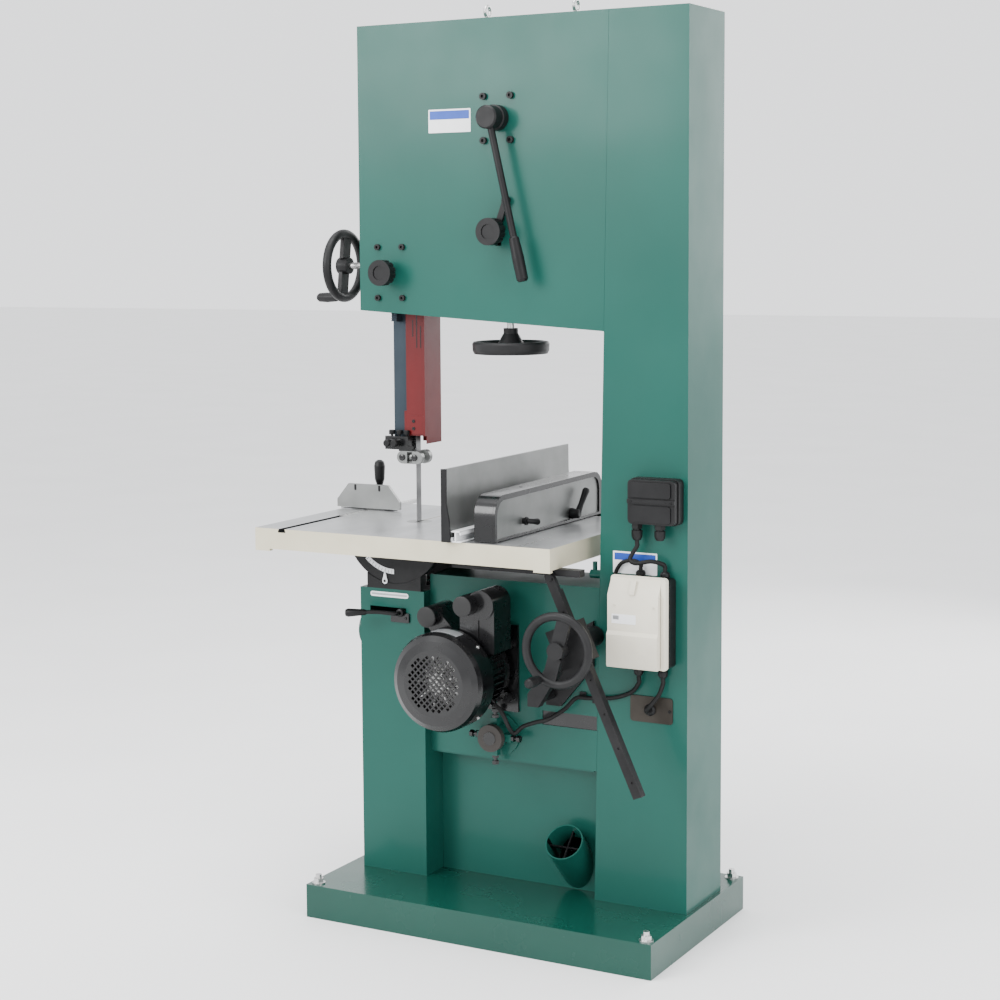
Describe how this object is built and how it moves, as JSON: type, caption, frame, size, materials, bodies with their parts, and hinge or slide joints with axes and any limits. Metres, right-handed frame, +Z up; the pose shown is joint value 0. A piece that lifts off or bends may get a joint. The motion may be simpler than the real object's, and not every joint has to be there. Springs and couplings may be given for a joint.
{
  "type": "band saw",
  "caption": "Floor-standing wood-cutting band saw with a tilting table, fence, mitre gauge and blade tension lever.",
  "frame": {"origin": "centre of the base tray at floor level", "axes": "+X to the free (blade) side, +Y to the rear (motor) side, +Z up"},
  "size_m": [1.2, 0.816, 2.3955],
  "materials": {
    "green_paint": "semi-gloss powder coat",
    "base_paint": "glossy powder coat",
    "black_paint": "satin black paint",
    "black_plastic": "moulded, fine grain",
    "cast_iron": "dark painted casting",
    "ground_iron": "ground top, cream painted edges",
    "steel": "bright machined steel",
    "aluminium": "anodised extrusion",
    "blade_steel": "rolled spring steel",
    "rubber": "matt rubber",
    "red_paint": "semi-gloss",
    "cream_plastic": "moulded enclosure",
    "green_plastic": "moulded button",
    "red_plastic": "moulded button",
    "post_steel": "blued ground bar"
  },
  "bodies": {
    "frame": {"base_tray": "base_paint", "fasteners": "steel", "column": "green_paint", "channel_cover": "green_paint", "upper_housing": "green_paint", "lower_housing": "green_paint", "pedestal": "green_paint", "lower_trunnion": "cast_iron", "lower_shaft": "steel", "hub_adjuster": "green_paint", "lower_guide": "steel", "motor_mount": "black_paint", "motor_body": "black_paint", "fan_shroud": "black_paint", "junction_box": "black_plastic", "starter_box": "cream_plastic", "cord_fixings": "black_plastic", "cords": "rubber", "tilt_bracket": "cast_iron", "switch_panel": "black_plastic", "blade": "blade_steel", "drive_belt": "rubber"},
    "upper_door_body": {"upper_door": "green_paint"},
    "lower_door_body": {"lower_door": "green_paint"},
    "upper_latch_body": {"upper_latch": "black_plastic"},
    "lower_latch_body": {"lower_latch": "black_plastic"},
    "release_lever_body": {"release_lever": "black_plastic"},
    "tension_carriage_body": {"tension_carriage": "cast_iron", "tension_spring": "steel"},
    "tension_handwheel_body": {"tension_handwheel": "cast_iron"},
    "wheel_bracket_body": {"wheel_bracket": "cast_iron"},
    "tracking_knob_body": {"tracking_knob": "black_plastic"},
    "tracking_lever_body": {"tracking_lever": "black_plastic"},
    "tracking_block_body": {"tracking_block": "cast_iron"},
    "upper_wheel_body": {"upper_wheel": "cast_iron", "upper_tyre": "rubber"},
    "lower_wheel_body": {"lower_wheel": "cast_iron", "lower_tyre": "rubber", "wheel_pulley": "cast_iron"},
    "motor_rotor_body": {"motor_rotor": "steel"},
    "guide_post_body": {"guide_post": "post_steel", "blade_guard": "red_paint", "upper_guide": "aluminium"},
    "guide_handwheel_body": {"guide_handwheel": "cast_iron"},
    "guide_lock_body": {"guide_lock_knob": "black_plastic"},
    "table_body": {"table": "ground_iron", "table_insert": "aluminium", "table_trunnions": "cast_iron", "fence_rail": "black_paint"},
    "table_lock_body": {"table_lock_lever": "black_plastic"},
    "tilt_housing_body": {"tilt_housing": "cast_iron"},
    "tilt_rack_body": {"tilt_rack": "cast_iron"},
    "tilt_handwheel_body": {"tilt_handwheel": "cast_iron"},
    "fence_body": {"fence": "aluminium"},
    "fence_lever_body": {"fence_lever": "black_plastic"},
    "miter_bar_body": {"miter_bar": "steel"},
    "miter_head_body": {"miter_head": "aluminium"},
    "miter_handle_body": {"miter_handle": "black_plastic"},
    "start_button_body": {"start_button": "green_plastic"},
    "stop_button_body": {"stop_button": "red_plastic"}
  },
  "joints": [
    {"name": "upper_door_hinge", "type": "hinge", "parent": "frame", "child": "upper_door_body", "pos_m": [-0.306, -0.1785, 1.96], "axis": [0, 0, -1], "range_deg": [0, 110]},
    {"name": "lower_door_hinge", "type": "hinge", "parent": "frame", "child": "lower_door_body", "pos_m": [-0.306, -0.1785, 0.48], "axis": [0, 0, -1], "range_deg": [0, 110]},
    {"name": "upper_latch_turn", "type": "hinge", "parent": "upper_door_body", "child": "upper_latch_body", "pos_m": [0.425, -0.172, 1.96], "axis": [0, 1, 0], "range_deg": [0, 90]},
    {"name": "lower_latch_turn", "type": "hinge", "parent": "lower_door_body", "child": "lower_latch_body", "pos_m": [0.416, -0.172, 0.48], "axis": [0, 1, 0], "range_deg": [0, 90]},
    {"name": "release_lever_turn", "type": "hinge", "parent": "frame", "child": "release_lever_body", "pos_m": [0.04, 0.09, 2.096], "axis": [0, 1, 0], "range_deg": [0, 120]},
    {"name": "carriage_slide", "type": "slide", "parent": "frame", "child": "tension_carriage_body", "axis": [0, 0, 1], "range_m": [-0.0121, 0]},
    {"name": "tension_handwheel_turn", "type": "hinge", "parent": "tension_carriage_body", "child": "tension_handwheel_body", "pos_m": [0.04, -0.01, 1.51], "axis": [0, 0, 1], "range_deg": [-2160, 0]},
    {"name": "tension_slide", "type": "slide", "parent": "tension_carriage_body", "child": "wheel_bracket_body", "axis": [0, 0, 1], "range_m": [-0.0151, 0]},
    {"name": "tracking_knob_turn", "type": "hinge", "parent": "wheel_bracket_body", "child": "tracking_knob_body", "pos_m": [0.04, 0.09, 1.808], "axis": [0, 1, 0], "range_deg": [-360, 360]},
    {"name": "tracking_lever_turn", "type": "hinge", "parent": "wheel_bracket_body", "child": "tracking_lever_body", "pos_m": [0.04, 0.065, 1.808], "axis": [0, 1, 0], "range_deg": [0, 60]},
    {"name": "tracking_tilt", "type": "hinge", "parent": "wheel_bracket_body", "child": "tracking_block_body", "pos_m": [0.04, -0.01, 1.95], "axis": [1, 0, 0], "range_deg": [-0.72, 0.72]},
    {"name": "upper_wheel_spin", "type": "hinge", "parent": "tracking_block_body", "child": "upper_wheel_body", "pos_m": [0.04, -0.048, 1.95], "axis": [0, 1, 0], "continuous": true},
    {"name": "lower_wheel_spin", "type": "hinge", "parent": "frame", "child": "lower_wheel_body", "pos_m": [0.04, -0.048, 0.496], "axis": [0, 1, 0], "continuous": true},
    {"name": "motor_spin", "type": "hinge", "parent": "frame", "child": "motor_rotor_body", "pos_m": [0.105, 0.1, 0.668], "axis": [0, 1, 0], "continuous": true},
    {"name": "guide_post_slide", "type": "slide", "parent": "frame", "child": "guide_post_body", "axis": [0, 0, -1], "range_m": [-0.13, 0.15]},
    {"name": "guide_handwheel_turn", "type": "hinge", "parent": "frame", "child": "guide_handwheel_body", "pos_m": [0.53, 0.023, 1.721], "axis": [1, 0, 0], "range_deg": [-373, 430]},
    {"name": "guide_lock_turn", "type": "hinge", "parent": "frame", "child": "guide_lock_body", "pos_m": [0.364, 0.09, 1.7035], "axis": [0, 1, 0], "range_deg": [0, 360]},
    {"name": "table_tilt", "type": "hinge", "parent": "frame", "child": "table_body", "pos_m": [0.345, -0.048, 1.027], "axis": [0, -1, 0], "range_deg": [-45, 0]},
    {"name": "table_lock_turn", "type": "hinge", "parent": "frame", "child": "table_lock_body", "pos_m": [0.32, 0.1, 0.801], "axis": [0, 1, 0], "range_deg": [0, 35]},
    {"name": "tilt_housing_swivel", "type": "hinge", "parent": "frame", "child": "tilt_housing_body", "pos_m": [-0.234, 0.2, 0.782], "axis": [0, -1, 0], "range_deg": [0, 6.5]},
    {"name": "tilt_rack_slide", "type": "slide", "parent": "tilt_housing_body", "child": "tilt_rack_body", "axis": [0.4131, 0, 0.9107], "range_m": [0, 0.3965]},
    {"name": "tilt_handwheel_turn", "type": "hinge", "parent": "tilt_housing_body", "child": "tilt_handwheel_body", "pos_m": [-0.234, 0.275, 0.782], "axis": [0, 1, 0], "range_deg": [0, 1420]},
    {"name": "fence_slide", "type": "slide", "parent": "table_body", "child": "fence_body", "axis": [1, 0, 0], "range_m": [-0.12, 0.19]},
    {"name": "fence_lever_turn", "type": "hinge", "parent": "fence_body", "child": "fence_lever_body", "pos_m": [-0.05, -0.215, 1.051], "axis": [1, 0, 0], "range_deg": [0, 60]},
    {"name": "miter_slide", "type": "slide", "parent": "table_body", "child": "miter_bar_body", "axis": [0, 1, 0], "range_m": [-0.08, 0.26]},
    {"name": "miter_swivel", "type": "hinge", "parent": "miter_bar_body", "child": "miter_head_body", "pos_m": [0.5975, -0.215, 1.03], "axis": [0, 0, 1], "range_deg": [-50, 50]},
    {"name": "miter_handle_turn", "type": "hinge", "parent": "miter_head_body", "child": "miter_handle_body", "pos_m": [0.5975, -0.255, 1.07], "axis": [0, 0, 1], "range_deg": [0, 360]},
    {"name": "start_press", "type": "slide", "parent": "frame", "child": "start_button_body", "axis": [0, 1, 0], "range_m": [0, 0.004], "stiffness_N_per_m": 400},
    {"name": "stop_press", "type": "slide", "parent": "frame", "child": "stop_button_body", "axis": [0, 1, 0], "range_m": [0, 0.005], "stiffness_N_per_m": 400}
  ],
  "couplings": [
    {"joint": "carriage_slide", "follows": "release_lever_turn", "m_per_rad": -0.0057296},
    {"joint": "tension_slide", "follows": "tension_handwheel_turn", "m_per_rad": 0.00039789},
    {"joint": "tracking_tilt", "follows": "tracking_knob_turn", "ratio": 0.002},
    {"joint": "upper_wheel_spin", "follows": "lower_wheel_spin", "ratio": 1},
    {"joint": "motor_spin", "follows": "lower_wheel_spin", "ratio": 2.4889},
    {"joint": "guide_handwheel_turn", "follows": "guide_post_slide", "rad_per_m": 50},
    {"joint": "tilt_housing_swivel", "follows": "table_tilt", "ratio": -0.14222},
    {"joint": "tilt_rack_slide", "follows": "table_tilt", "m_per_rad": -0.5042},
    {"joint": "tilt_handwheel_turn", "follows": "table_tilt", "ratio": -31.513}
  ]
}
